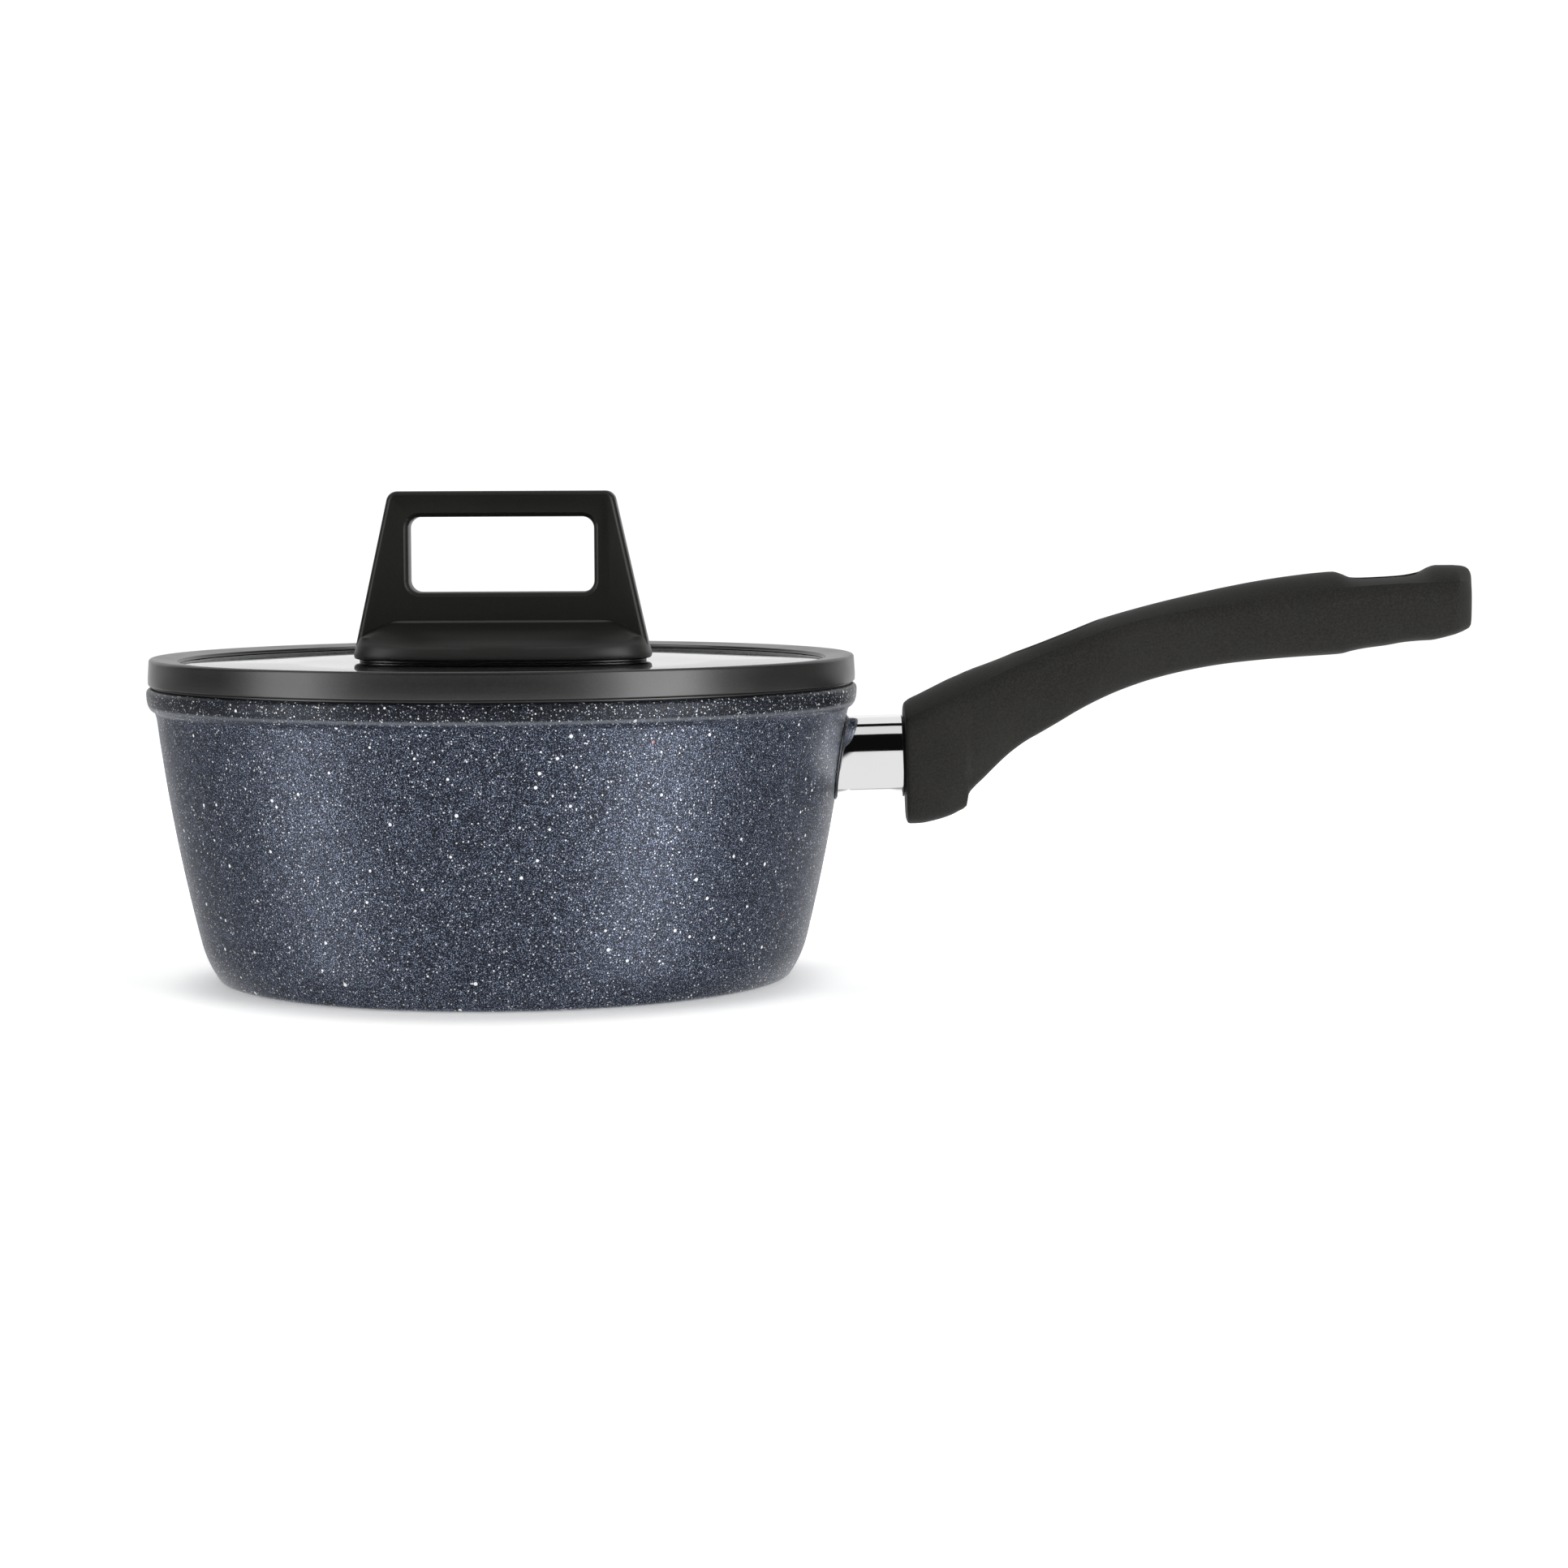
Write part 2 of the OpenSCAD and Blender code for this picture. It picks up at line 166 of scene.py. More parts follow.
def loft(name, rings, angle=32.0, caps=True):
    """Closed rings of equal length joined in order, with flat caps at both ends."""
    n = len(rings[0])
    verts = [p for r in rings for p in r]
    faces = []
    for s in range(len(rings) - 1):
        for i in range(n):
            a, b = s * n + i, s * n + (i + 1) % n
            faces.append([a, b, b + n, a + n])
    if caps:
        faces.append(list(range(n - 1, -1, -1)))
        faces.append([(len(rings) - 1) * n + i for i in range(n)])
    return make(name, verts, faces, angle)


def round_rect(w, h, r, n=10):
    out = []
    for cx, cy, a in ((w / 2 - r, h / 2 - r, 0), (-w / 2 + r, h / 2 - r, 90), (-w / 2 + r, -h / 2 + r, 180), (w / 2 - r, -h / 2 + r, 270)):
        out += arc(cx, cy, r, a, a + 90, n)
    return out


# ------------------------------------------------------------------ materials
class Nodes:
    """Short names for building a node material. Every pattern is in the object's own millimetres."""

    def __init__(self, name, **bsdf):
        self.mat = bpy.data.materials.new(name)
        self.mat.use_nodes = True
        self.t = self.mat.node_tree
        self.b = self.t.nodes["Principled BSDF"]
        for k, v in bsdf.items():
            self.set(k.replace("_", " "), v)
        self.xyz = self.t.nodes.new("ShaderNodeTexCoord").outputs["Object"]

    def set(self, socket, value):
        s = self.b.inputs[socket]
        if isinstance(value, (tuple, list)) and len(value) == 3 and s.type == "RGBA":
            value = (*value, 1.0)
        s.default_value = value

    def node(self, kind, **settings):
        n = self.t.nodes.new("ShaderNode" + kind)
        for k, v in settings.items():
            setattr(n, k, v)
        return n

    def link(self, a, b):
        self.t.links.new(a, b)

    def plug(self, s, v):
        if hasattr(v, "is_output"):
            self.link(v, s)
        else:
            if isinstance(v, (tuple, list)) and len(v) == 3 and s.type == "RGBA":
                v = (*v, 1.0)
            s.default_value = v

    def math(self, op, a, b=0.0, c=0.0, clamp=False):
        n = self.node("Math", operation=op, use_clamp=clamp)
        for s, v in zip(n.inputs, (a, b, c)):
            self.plug(s, v)
        return n.outputs[0]

    def noise(self, size, detail=2.0, rough=0.5, vector=None, distortion=0.0):
        """Noise whose features are about size millimetres across."""
        n = self.node("TexNoise")
        n.inputs["Scale"].default_value = 1000.0 / size
        n.inputs["Detail"].default_value = detail
        n.inputs["Roughness"].default_value = rough
        n.inputs["Distortion"].default_value = distortion
        self.link(vector or self.xyz, n.inputs["Vector"])
        return n.outputs["Fac"]

    def ramp(self, fac, stops, interpolation="LINEAR"):
        n = self.node("ValToRGB")
        n.color_ramp.interpolation = interpolation
        e = n.color_ramp.elements
        while len(e) < len(stops):
            e.new(0.5)
        for el, (pos, col) in zip(e, stops):
            el.position = pos
            el.color = (*col, 1.0) if len(col) == 3 else col
        self.link(fac, n.inputs["Fac"])
        return n.outputs["Color"]

    def remap(self, v, a, b, c, d, clamp=True):
        n = self.node("MapRange", clamp=clamp)
        for s, x in zip(n.inputs, (v, a, b, c, d)):
            self.plug(s, x)
        return n.outputs[0]

    def mix(self, fac, a, b, blend="MIX"):
        n = self.node("Mix", data_type="RGBA", blend_type=blend)
        self.plug(n.inputs[0], fac)
        self.plug(n.inputs[6], a)
        self.plug(n.inputs[7], b)
        return n.outputs[2]

    def dots(self, cell, radius, share, shift=(0, 0, 0), soft=0.35):
        """Round dots: one cell in every 1/share of size cell holds a dot of about that radius, in millimetres."""
        m = self.node("Mapping")
        m.inputs["Location"].default_value = shift
        self.link(self.xyz, m.inputs["Vector"])
        v = self.node("TexVoronoi", feature="F1")
        v.inputs["Scale"].default_value = 1000.0 / cell
        v.inputs["Randomness"].default_value = 1.0
        self.link(m.outputs[0], v.inputs["Vector"])
        s = self.node("SeparateColor")
        self.link(v.outputs["Color"], s.inputs[0])
        # each dot's own radius, from 55% to 100%
        r = self.remap(s.outputs[1], 0, 1, 0.55 * radius / cell, radius / cell)
        edge = self.math("DIVIDE", v.outputs["Distance"], r)
        inside = self.remap(edge, 1.0 - soft, 1.0, 1.0, 0.0)
        on = self.math("LESS_THAN", s.outputs[0], share)
        return self.math("MULTIPLY", inside, on), s.outputs[2]

    def bump(self, height, distance, strength=1.0, after=None):
        n = self.node("Bump")
        n.inputs["Distance"].default_value = distance * MM
        n.inputs["Strength"].default_value = strength
        self.link(height, n.inputs["Height"])
        if after is not None:
            self.link(after, n.inputs["Normal"])
        self.link(n.outputs[0], self.b.inputs["Normal"])
        return n.outputs[0]

    def to(self, socket, v):
        self.link(v, self.b.inputs[socket])


def granite_coat():
    """Satin navy non-stick coat: fine dark grain with bluish flakes, many small crisp pale specks, fewer white dots,
    and a rare reddish one.
    The band at the mouth is darkened as painted shade and is more densely specked, and its lower edge carries a painted
    highlight, a paler line."""
    m = Nodes("granite_coat")
    s = m.node("SeparateXYZ")
    m.link(m.xyz, s.inputs[0])
    r = m.math("SQRT", m.math("ADD", m.math("POWER", s.outputs[0], 2.0), m.math("POWER", s.outputs[1], 2.0)))
    outside = m.remap(r, 0.0995, 0.1010, 0.0, 1.0)
    band = m.math("MULTIPLY", m.remap(s.outputs[2], 0.0797, 0.0808, 0.0, 1.0), outside)
    # mask for the band's lower edge, which carries a painted highlight line
    edge = m.math("MULTIPLY", m.math("MULTIPLY", m.remap(s.outputs[2], 0.0794, 0.0799, 0.0, 1.0), m.remap(s.outputs[2], 0.0808, 0.0802, 0.0, 1.0)), outside)
    grain = m.noise(0.20, 1.0, 0.6)
    flake = m.noise(0.34, 1.0, 0.5)
    patch = m.noise(5.0, 2.0, 0.5)
    g = m.math("ADD", m.math("MULTIPLY", m.math("ADD", grain, flake), 0.5), m.math("MULTIPLY", m.math("SUBTRACT", patch, 0.5), 0.05))
    col = m.ramp(g, [(0.42, (0.0022, 0.0024, 0.0032)), (0.485, (0.0075, 0.0093, 0.0152)), (0.54, (0.033, 0.042, 0.071)),
                     (0.595, (0.135, 0.168, 0.255)), (0.66, (0.46, 0.52, 0.64))])
    # painted shade: the band at the mouth is mixed towards near black
    col = m.mix(m.math("MULTIPLY", band, 0.72), col, (0.003, 0.0032, 0.0038))
    fine, tone = m.dots(0.62, 0.165, 0.72, soft=0.2)
    col = m.mix(m.math("MULTIPLY", fine, m.remap(tone, 0, 1, 0.12, 1.0)), col, (0.55, 0.64, 0.84))
    mid, tone2 = m.dots(1.2, 0.29, 0.80, (0.013, 0.007, 0.031), 0.2)
    col = m.mix(m.math("MULTIPLY", mid, m.remap(tone2, 0, 1, 0.5, 1.0)), col, (0.97, 0.98, 0.99))
    more, tone3 = m.dots(0.95, 0.24, 0.65, (0.031, 0.017, 0.003), 0.2)
    col = m.mix(m.math("MULTIPLY", m.math("MULTIPLY", more, band), m.remap(tone3, 0, 1, 0.3, 1.0)), col, (0.95, 0.96, 0.97))
    big, _ = m.dots(4.6, 0.60, 0.7, (0.041, 0.023, 0.017), 0.15)
    col = m.mix(big, col, (0.97, 0.97, 0.97))
    red, _ = m.dots(7.0, 0.50, 0.10, (0.003, 0.053, 0.071), 0.3)
    col = m.mix(m.math("MULTIPLY", red, 0.75), col, (0.42, 0.13, 0.10))
    # painted highlight: a paler line along the band's lower edge
    col = m.mix(m.math("MULTIPLY", edge, 0.55), col, (0.20, 0.215, 0.24))
    m.to("Base Color", col)
    white = m.math("MAXIMUM", big, mid)
    m.to("Metallic", m.remap(white, 0.0, 1.0, 0.45, 0.0))
    m.to("Roughness", m.remap(grain, 0.3, 0.7, 0.34, 0.44))
    m.set("Specular IOR Level", 0.35)
    h = m.math("ADD", m.math("MULTIPLY", grain, 0.5), m.math("MULTIPLY", mid, 0.25))
    m.bump(h, 0.03, 0.8)
    return m.mat


def silicone():
    m = Nodes("silicone_black")
    dust = m.noise(0.55, 3.0, 0.6)
    cloud = m.noise(14.0, 2.0, 0.5)
    m.to("Base Color", m.mix(m.remap(dust, 0.42, 0.75, 0.0, 0.5), (0.0095, 0.0095, 0.0092), (0.026, 0.026, 0.025)))
    m.to("Roughness", m.math("ADD", m.remap(cloud, 0.3, 0.7, 0.27, 0.33), m.math("MULTIPLY", dust, 0.05)))
    m.set("Specular IOR Level", 0.72)
    m.bump(dust, 0.02, 0.6)
    return m.mat


def bakelite():
    """Phenolic grip: warm charcoal, very fine matt grain, slightly paler rubbed patches."""
    m = Nodes("bakelite_grip")
    grain = m.noise(0.5, 4.0, 0.65)
    cloud = m.noise(22.0, 3.0, 0.55)
    col = m.mix(m.remap(grain, 0.35, 0.72, 0.0, 1.0), (0.0165, 0.0160, 0.0147), (0.0335, 0.0330, 0.0308))
    col = m.mix(m.remap(cloud, 0.45, 0.7, 0.0, 0.3), col, (0.036, 0.0355, 0.034))
    m.to("Base Color", col)
    m.to("Roughness", m.math("ADD", m.remap(cloud, 0.3, 0.7, 0.50, 0.58), m.math("MULTIPLY", grain, 0.06)))
    m.set("Specular IOR Level", 0.12)
    m.bump(grain, 0.03, 0.75)
    return m.mat


def knob_plastic():
    """Phenolic knob: deep warm black, fine grain; the foot's slope and upright edge are painted paler as painted light,
    and the crease has a painted highlight line.
    """
    m = Nodes("bakelite_knob")
    s = m.node("SeparateXYZ")
    m.link(m.xyz, s.inputs[0])
    y = m.math("ABSOLUTE", s.outputs[1])
    grain = m.noise(0.35, 3.0, 0.6)
    cloud = m.noise(18.0, 2.0, 0.5)
    col = m.mix(m.remap(grain, 0.4, 0.7, 0.0, 1.0), (0.0098, 0.0100, 0.0084), (0.0148, 0.0150, 0.0130))
    # painted light: the foot is painted paler, more so lower down its slope
    foot = m.remap(s.outputs[2], 0.1036, 0.0990, 0.0, 0.35)
    col = m.mix(foot, col, (0.030, 0.0305, 0.029))
    # painted light: the foot's upright band is painted paler still
    low = m.math("MULTIPLY", m.remap(s.outputs[2], 0.0990, 0.0974, 0.0, 0.55), m.remap(s.outputs[2], 0.0930, 0.0938, 0.0, 1.0))
    col = m.mix(low, col, (0.046, 0.047, 0.045))
    # painted highlight: a pale line along the crease where the foot meets the frame
    crease_painted_highlight = m.math("MULTIPLY", m.remap(s.outputs[2], 0.1034, 0.1038, 0.0, 1.0), m.remap(y, 0.0061, 0.0064, 0.0, 0.8))
    col = m.mix(crease_painted_highlight, col, (0.060, 0.061, 0.058))
    m.to("Base Color", col)
    m.to("Roughness", m.remap(cloud, 0.3, 0.7, 0.36, 0.42))
    m.set("Specular IOR Level", 0.28)
    m.bump(grain, 0.012, 0.6)
    return m.mat


def glass():
    m = Nodes("tempered_glass", Roughness=0.012, IOR=1.5, Transmission_Weight=1.0, Base_Color=(0.93, 0.975, 0.96))
    haze = m.noise(60.0, 3.0, 0.5)
    m.bump(haze, 0.25, 0.12)
    return m.mat


def chrome():
    m = Nodes("chrome_guard", Metallic=1.0, Base_Color=(0.90, 0.90, 0.905))
    smear = m.noise(9.0, 3.0, 0.6)
    m.to("Roughness", m.remap(smear, 0.35, 0.75, 0.045, 0.09))
    fine = m.noise(0.8, 2.0, 0.5)
    m.bump(fine, 0.0015, 0.4)
    return m.mat


def steel(name, tone, rough, size=0.6, bump=0.01):
    m = Nodes(name, Metallic=1.0)
    n = m.noise(size, 3.0, 0.6)
    c = m.noise(7.0, 2.0, 0.5)
    m.to("Base Color", m.mix(m.remap(c, 0.3, 0.7, 0.0, 1.0), tuple(0.82 * t for t in tone), tone))
    m.to("Roughness", m.remap(n, 0.3, 0.7, rough - 0.06, rough + 0.08))
    m.bump(n, bump, 0.6)
    return m.mat


def turned_steel():
    """Base disc: face-turned rings, with a bump of fine circles about the middle and dull heat bloom."""
    m = Nodes("turned_steel", Metallic=1.0)
    s = m.node("SeparateXYZ")
    m.link(m.xyz, s.inputs[0])
    r = m.math("SQRT", m.math("ADD", m.math("POWER", s.outputs[0], 2.0), m.math("POWER", s.outputs[1], 2.0)))
    fine = m.math("SINE", m.math("MULTIPLY", r, 2 * math.pi / 0.00045))
    c = m.node("CombineXYZ")
    m.link(m.math("MULTIPLY", r, 60.0), c.inputs[0])
    streak = m.node("TexNoise")
    streak.inputs["Scale"].default_value = 14.0
    streak.inputs["Detail"].default_value = 4.0
    m.link(c.outputs[0], streak.inputs["Vector"])
    cloud = m.noise(35.0, 3.0, 0.6)
    col = m.mix(m.remap(streak.outputs["Fac"], 0.35, 0.65, 0.0, 1.0), (0.44, 0.44, 0.445), (0.60, 0.60, 0.60))
    m.to("Base Color", m.mix(m.remap(cloud, 0.5, 0.8, 0.0, 0.35), col, (0.50, 0.46, 0.41)))
    m.to("Roughness", m.remap(streak.outputs["Fac"], 0.3, 0.7, 0.24, 0.38))
    m.bump(m.math("ADD", fine, m.math("MULTIPLY", streak.outputs["Fac"], 1.5)), 0.006, 0.8)
    return m.mat


M = {
    "coat": granite_coat(),
    "silicone": silicone(),
    "grip": bakelite(),
    "knob": knob_plastic(),
    "glass": glass(),
    "chrome": chrome(),
    "zinc": steel("zinc_plated_steel", (0.66, 0.66, 0.655), 0.34),
    "stainless": steel("stainless_steel", (0.72, 0.71, 0.70), 0.24),
    "brass": steel("brass_insert", (0.80, 0.60, 0.28), 0.30),
    "disc": turned_steel(),
}


def finish(ob, mat):
    ob.data.materials.clear()
    ob.data.materials.append(M[mat])
    return ob


node_finish = {
    "pan_body": "coat", "base_disc": "disc", "guard_gasket": "silicone", "flame_guard": "chrome", "lug_insert": "zinc",
    "handle_grip": "grip", "handle_washer": "zinc", "handle_lock_washer": "zinc", "handle_screw": "zinc",
    "rim_seal": "silicone", "lid_glass": "glass", "vent_bush": "silicone", "vent_eyelet": "stainless", "knob_body": "knob",
    "knob_gasket": "silicone", "knob_insert": "brass", "glass_grommet": "silicone", "knob_washer": "stainless",
    "knob_lock_washer": "stainless", "knob_screw": "stainless",
}
for n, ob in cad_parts.items():
    for i in range(len(ob.material_slots)):
        ob.material_slots[i].material = M[node_finish[n]]


# ------------------------------------------------------------------ pan
TILT = math.radians(1.5)
TC, TS = math.cos(TILT), math.sin(TILT)


def wall_r(z):
    t = z - 11.3
    return 88.5 + 0.2475 * t - 0.001 * t * t


def ax(x, y, z):
    """From the frame of the grip joint, whose x runs along the tilted axis, to the object's frame."""
    return (108 + x * TC - z * TS, y, 63.75 + x * TS + z * TC)


def to_wall(y, z, d):
    """The x of the grip joint's frame where (y, z) meets the wall's outside, set off by d."""
    lo, hi = -30.0, 10.0
    for _ in range(50):
        mid = (lo + hi) / 2
        X, Y, Z = ax(mid, y, z)
        if math.hypot(X, Y) < wall_r(Z) + d:
            lo = mid
        else:
            hi = mid
    return (lo + hi) / 2


def place(ob, body, mat, slot, *nodes):
    finish(ob, mat)
    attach(ob, body)
    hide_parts(*nodes)
    return ob


# vessel, from the middle of the recess in the base, out, up, over the rim and down to the floor inside
vessel = [(0, 1.0), (30, 1.0), (60, 1.0), (71.7, 1.0), (72.05, 0.85), (72.05, 0.3), (72.2, 0.08), (72.5, 0.0),
          (75.3, 0.0), (75.5, 0.1), (75.7, 0.26), (76.0, 0.3), (76.3, 0.26), (76.5, 0.1), (76.7, 0.0),
          (78.3, 0.0), (78.5, 0.1), (78.7, 0.26), (79.0, 0.3), (79.3, 0.26), (79.5, 0.1), (79.7, 0.0),
          (81.6, 0.0), (82.3, 0.02), (82.8, 0.14)]
cr, cz = 88.5 - 31.2 * math.cos(math.radians(13.9)), 11.3 + 31.2 * math.sin(math.radians(13.9))
vessel += arc(cr, cz, 31.2, -35.5, -13.9, 14)
vessel += [(wall_r(z), z) for z in np.arange(12.6, 75.1, 1.5)]
vessel += smooth_path([(wall_r(76), 76), (wall_r(77.2) + 0.12, 77.2), (101.0, 78.4), (101.7, 78.9), (102.25, 79.4), (102.7, 80.1), (102.95, 80.8),
                       (103.2, 82.0), (103.3, 83.4)], 0.3)
vessel += arc(103.3 - 1.4, 85.4 - 1.4, 1.4, 2, 90, 10)
vessel += [(100.6, 85.4)]
vessel += arc(wall_r(85.4) - 2.8 + 1.3, 85.4 - 1.3, 1.3, 95, 180, 8)
vessel += [(wall_r(z) - 2.8, z) for z in np.arange(83.5, 19.5, -1.6)]
vessel += arc(wall_r(18.4) - 2.8 - 14 * math.cos(math.radians(13)), 19, 14, -13, -90, 22)
vessel += [(60, 5.0), (30, 5.0), (0, 5.0)]
pan = revolve("pan_vessel", vessel, 384, angle=38)

# cast lug inside the sleeve
rings = []
for f in (0.0, 0.33, 0.66, 1.0):
    ring = []
    for y, z in round_rect(19, 15, 5, 8):
        x0 = to_wall(y, z, -1.3)
        ring.append(ax(x0 + (3.6 - x0) * f, y, z))
    rings.append(ring)
rings.append([ax(4.0, y, z) for y, z in round_rect(18.2, 14.2, 4.6, 8)])
lug = loft("lug", rings)
bore = loft("lug_bore", [[ax(x, 4.05 * math.cos(a), 4.05 * math.sin(a)) for a in np.linspace(0, 2 * math.pi, 49)[:-1]] for x in (-6, 6)])
lug = boolean(lug, bore)
pan = boolean(pan, lug, "UNION")
tidy(pan, 38, 1e-7)
place(pan, "pan", "coat", "coated_aluminium", "pan_body")

# steel disc let into the base, with turned rings and a small centre dimple
disc = [(0, 0.95), (36, 0.95), (71.7, 0.95), (72.0, 0.8), (72.0, 0.12), (71.85, 0.0)]
for r in (66, 59, 46, 33, 20):
    disc += [(r + 0.62, 0.0), (r + 0.4, 0.12), (r + 0.15, 0.24), (r - 0.15, 0.24), (r - 0.4, 0.12), (r - 0.62, 0.0)]
disc += [(4.2, 0.0), (3.6, 0.16), (2.0, 0.3), (0, 0.34)]
place(revolve("base_disc_turned", disc, 288, angle=25), "pan", "disc", "base_steel", "base_disc")

# sleeve between pan and grip
END = 8.75


def sleeve_ring(inset, x_of):
    return [ax(x_of(y, z), y, z) for y, z in round_rect(29 - 2 * inset, 23.5 - 2 * inset, 9.5 - inset, 18)]


rings = [sleeve_ring(i, lambda y, z, k=k: to_wall(y, z, 0.65) + k) for i, k in ((0.5, 0.0), (0.22, 0.02), (0.06, 0.1), (0.0, 0.28))]
for f in (0.2, 0.4, 0.6, 0.8):
    rings.append(sleeve_ring(0.0, lambda y, z, f=f: (1 - f) * (to_wall(y, z, 0.65) + 0.28) + f * (END - 0.4)))
rings += [sleeve_ring(i, lambda y, z, k=k: END - k) for i, k in ((0.0, 0.4), (0.05, 0.18), (0.18, 0.05), (0.4, 0.0), (1.0, 0.0))]
rings += [sleeve_ring(1.0, lambda y, z: END - 4), sleeve_ring(1.0, lambda y, z: to_wall(y, z, 0.65) + 0.3), sleeve_ring(0.8, lambda y, z: to_wall(y, z, 0.65))]
rings.append(rings[0])
sleeve = loft("flame_guard_sleeve", rings, 40, caps=False)
tidy(sleeve, 40, 1e-7)
place(sleeve, "pan", "chrome", "chrome", "flame_guard")

# gasket between sleeve and wall
def gasket_ring(out, d):
    return [ax(to_wall(y, z, d), y, z) for y, z in round_rect(29 + 2 * out, 23.5 + 2 * out, 9.5 + out, 18)]


rings = [gasket_ring(o, d) for o, d in ((-2.0, 0.06), (-2.0, 0.58), (-0.6, 0.58), (0.0, 0.56), (0.2, 0.48), (0.29, 0.3), (0.2, 0.12), (0.05, 0.06), (-2.0, 0.06))]
gasket = loft("guard_gasket_ring", rings, 50, caps=False)
tidy(gasket, 50, 1e-7)
place(gasket, "pan", "silicone", "silicone", "guard_gasket")

# ------------------------------------------------------------------ grip
GRIP = np.array([
    [116.9, 79.3, 75.4, 44.2, 16.6, 0.75], [117.1, 79.45, 75.5, 44.2, 16.6, 0.3], [117.5, 79.7, 75.65, 44.2, 16.6, 0.07],
    [118.0, 80.0, 75.9, 44.2, 16.6, 0], [118.5, 80.4, 76.1, 44.2, 16.6, 0], [121, 81.6, 77.2, 44.3, 16.5, 0], [125, 83.6, 79.1, 45, 16.2, 0], [130, 86.1, 81.4, 46.4, 15.8, 0],
    [133, 87.4, 82.6, 47.8, 15.4, 0], [135.2, 88.4, 83.6, 49.2, 15.1, 0], [135.8, 88.6, 83.9, 52.6, 15, 0],
    [137.2, 89.2, 84.6, 54.5, 14.9, 0], [140, 90.2, 86, 57.2, 14.6, 0], [144, 91.7, 88, 61.2, 14.2, 0],
    [147, 92.9, 89.4, 64, 13.9, 0], [152, 95.1, 91.6, 67.8, 13.6, 0], [157, 97.4, 93.7, 70.7, 13.4, 0],
    [162, 99.6, 95.6, 73.6, 13.3, 0], [167, 101.3, 97.5, 76.6, 13.3, 0], [172, 102.8, 99.5, 79.3, 13.4, 0],
    [180, 105.2, 102.1, 82.9, 13.5, 0], [190, 107.9, 104.8, 86.3, 13.7, 0], [200, 110.3, 106.5, 88.7, 13.9, 0],
    [210, 112.5, 108, 90.4, 14.1, 0], [220, 114.4, 109.3, 91.5, 14.3, 0], [230, 115.9, 110.6, 92.3, 14.5, 0],
    [238, 116.8, 111.7, 92.8, 14.6, 0], [242.5, 117.1, 112.3, 93.1, 14.7, 0], [244.4, 116.6, 112.6, 93.3, 14.7, 0],
    [247, 115.7, 112.9, 94, 14.8, 0], [251, 115.5, 113.2, 94.8, 14.8, 0], [257, 115.7, 113.6, 95.6, 14.8, 0],
    [263, 116.1, 113.9, 96.6, 14.8, 0], [268, 117, 114, 97, 14.8, 0], [270.2, 118.2, 114.1, 97.1, 14.8, 0],
    [272.5, 118.9, 114.2, 97.5, 14.8, 0], [276, 118.9, 114.4, 98.4, 14.8, 0],
    [277.4, 118.9, 114.4, 98.8, 14.6, 0], [278.6, 118.8, 114.3, 99.2, 13, 0], [279.8, 118.7, 114.2, 99.6, 11.1, 0],
    [281, 118.4, 114, 100.1, 8.7, 0], [281.9, 117.8, 113.6, 100.5, 6.2, 0], [282.5, 116.9, 113.1, 101.1, 4, 0],
    [282.8, 115.9, 112.6, 101.9, 2.4, 0]])


def monotone(xs, ys):
    """Slopes of a monotone cubic through the points."""
    h, d = np.diff(xs), np.diff(ys) / np.diff(xs)
    m = np.zeros(len(xs))
    for i in range(1, len(xs) - 1):
        if d[i - 1] * d[i] > 0:
            w1, w2 = 2 * h[i] + h[i - 1], h[i] + 2 * h[i - 1]
            m[i] = (w1 + w2) / (w1 / d[i - 1] + w2 / d[i])
    m[0], m[-1] = d[0], d[-1]
    return m


SLOPES = [monotone(GRIP[:, 0], GRIP[:, c]) for c in range(1, 6)]


def grip_at(x):
    k = min(max(int(np.searchsorted(GRIP[:, 0], x, "right")) - 1, 0), len(GRIP) - 2)
    h = GRIP[k + 1, 0] - GRIP[k, 0]
    t = (x - GRIP[k, 0]) / h
    out = []
    for c in range(1, 6):
        a, b, ma, mb = GRIP[k, c], GRIP[k + 1, c], SLOPES[c - 1][k] * h, SLOPES[c - 1][k + 1] * h
        out.append((2 * t**3 - 3 * t**2 + 1) * a + (t**3 - 2 * t**2 + t) * ma + (-2 * t**3 + 3 * t**2) * b + (t**3 - t**2) * mb)
    return out


def grip_ring(x, n_top=28, n_low=44):
    zt, zc, zb, w, inset = grip_at(x)
    w, zt, zc, zb = w - inset, zt - inset, zc - inset / 2, zb + inset
    tuck = min(1.1, 0.35 * w)
    wc, zs = w - tuck, zc - 4.0
    lean = max(0.0, 1 - (x - 116.9) / 16)
    pts = []
    for i in range(n_top + 1):
        f = -math.cos(math.pi * i / n_top)          # closer points near the creases
        z = zc + (zt - zc) * (1 - abs(f) ** 2.2)
        pts.append((wc * f, z))
    # a narrow round on the crease itself
    e = 0.22
    pts[0], pts[-1] = (-wc + 0.02, zc + 0.10), (wc - 0.02, zc + 0.10)
    side = [(wc + 0.16 * tuck, zc - e), (wc + 0.45 * tuck, zc - 1.0), (wc + 0.70 * tuck, zc - 1.8), (wc + 0.90 * tuck, zc - 2.9)]
    low = []
    for i in range(n_low + 1):
        t = math.pi * i / n_low
        c, s = math.cos(t), max(0.0, math.sin(t))
        q = s**0.55 if s > 1e-9 else 0.0
        low.append((w * (1 - 0.07 * q) * math.copysign(abs(c) ** 0.45, c), zs - (zs - zb) * q))
    pts += side + low + [(-y, z) for y, z in reversed(side)]
    return [(x + lean * (80 - z) * math.tan(TILT), y, z) for y, z in pts]


